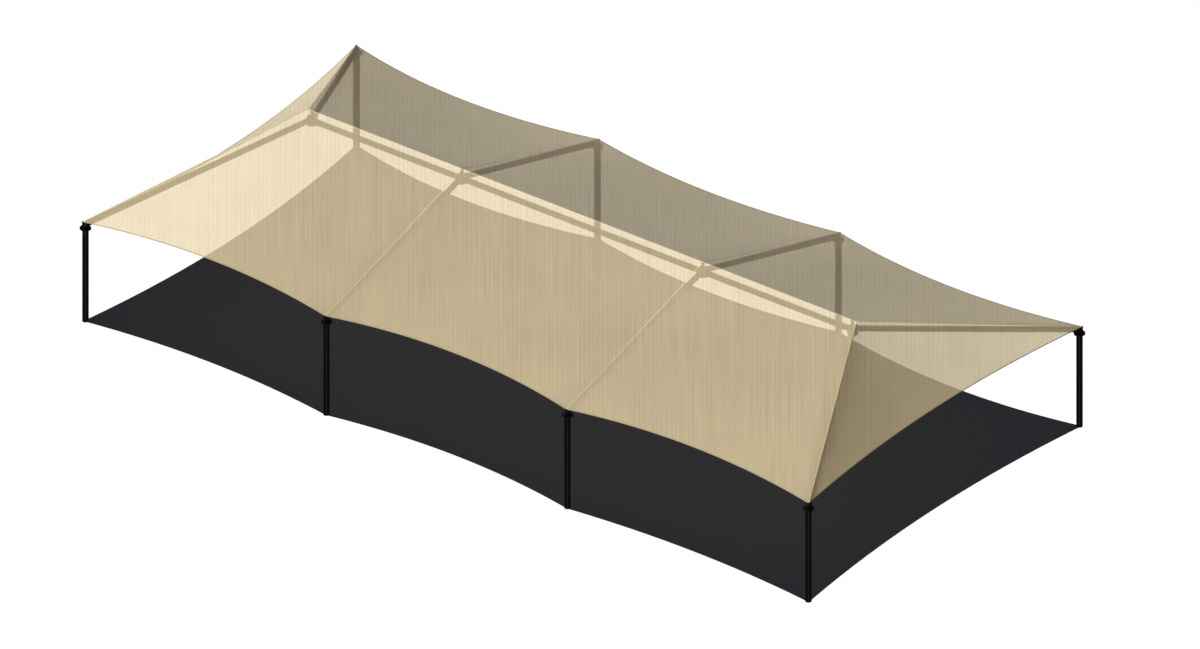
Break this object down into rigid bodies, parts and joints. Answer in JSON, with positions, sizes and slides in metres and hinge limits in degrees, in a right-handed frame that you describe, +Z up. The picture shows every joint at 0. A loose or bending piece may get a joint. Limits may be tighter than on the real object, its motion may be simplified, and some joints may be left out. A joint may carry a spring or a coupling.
{
  "type": "hip shade structure",
  "caption": "Open-sided shade structure: round posts, tube rafters and a ridge tube carry a hipped knitted cloth canopy with inward-curved eaves.",
  "frame": {"origin": "on the ground, under the middle of the ridge", "axes": "+X along the ridge, +Y across from the near long side to the far one, +Z up"},
  "size_m": [24.705, 12.115, 4.8712],
  "materials": {
    "powder_coated_steel": "satin black powder coat",
    "knitted_shade_cloth": "sand-coloured knitted mesh, partly see-through",
    "galvanised_steel": "galvanised stranded cable"
  },
  "bodies": {
    "root": {"column_near_1": "powder_coated_steel", "column_near_2": "powder_coated_steel", "column_near_3": "powder_coated_steel", "column_near_4": "powder_coated_steel", "column_far_1": "powder_coated_steel", "column_far_2": "powder_coated_steel", "column_far_3": "powder_coated_steel", "column_far_4": "powder_coated_steel", "head_near_1": "powder_coated_steel", "head_near_2": "powder_coated_steel", "head_near_3": "powder_coated_steel", "head_near_4": "powder_coated_steel", "head_far_1": "powder_coated_steel", "head_far_2": "powder_coated_steel", "head_far_3": "powder_coated_steel", "head_far_4": "powder_coated_steel", "rafter_hip_near_left": "powder_coated_steel", "rafter_mid_near_left": "powder_coated_steel", "rafter_mid_near_right": "powder_coated_steel", "rafter_hip_near_right": "powder_coated_steel", "rafter_hip_far_left": "powder_coated_steel", "rafter_mid_far_left": "powder_coated_steel", "rafter_mid_far_right": "powder_coated_steel", "rafter_hip_far_right": "powder_coated_steel", "ridge_beam_left": "powder_coated_steel", "ridge_beam_middle": "powder_coated_steel", "ridge_beam_right": "powder_coated_steel", "hub_1": "powder_coated_steel", "hub_2": "powder_coated_steel", "hub_3": "powder_coated_steel", "hub_4": "powder_coated_steel", "canopy_near_left": "knitted_shade_cloth", "canopy_near_middle": "knitted_shade_cloth", "canopy_near_right": "knitted_shade_cloth", "canopy_far_left": "knitted_shade_cloth", "canopy_far_middle": "knitted_shade_cloth", "canopy_far_right": "knitted_shade_cloth", "canopy_end_left": "knitted_shade_cloth", "canopy_end_right": "knitted_shade_cloth", "cable_near_1": "galvanised_steel", "cable_near_2": "galvanised_steel", "cable_near_3": "galvanised_steel", "cable_far_1": "galvanised_steel", "cable_far_2": "galvanised_steel", "cable_far_3": "galvanised_steel", "cable_end_left": "galvanised_steel", "cable_end_right": "galvanised_steel"}
  },
  "joints": []
}
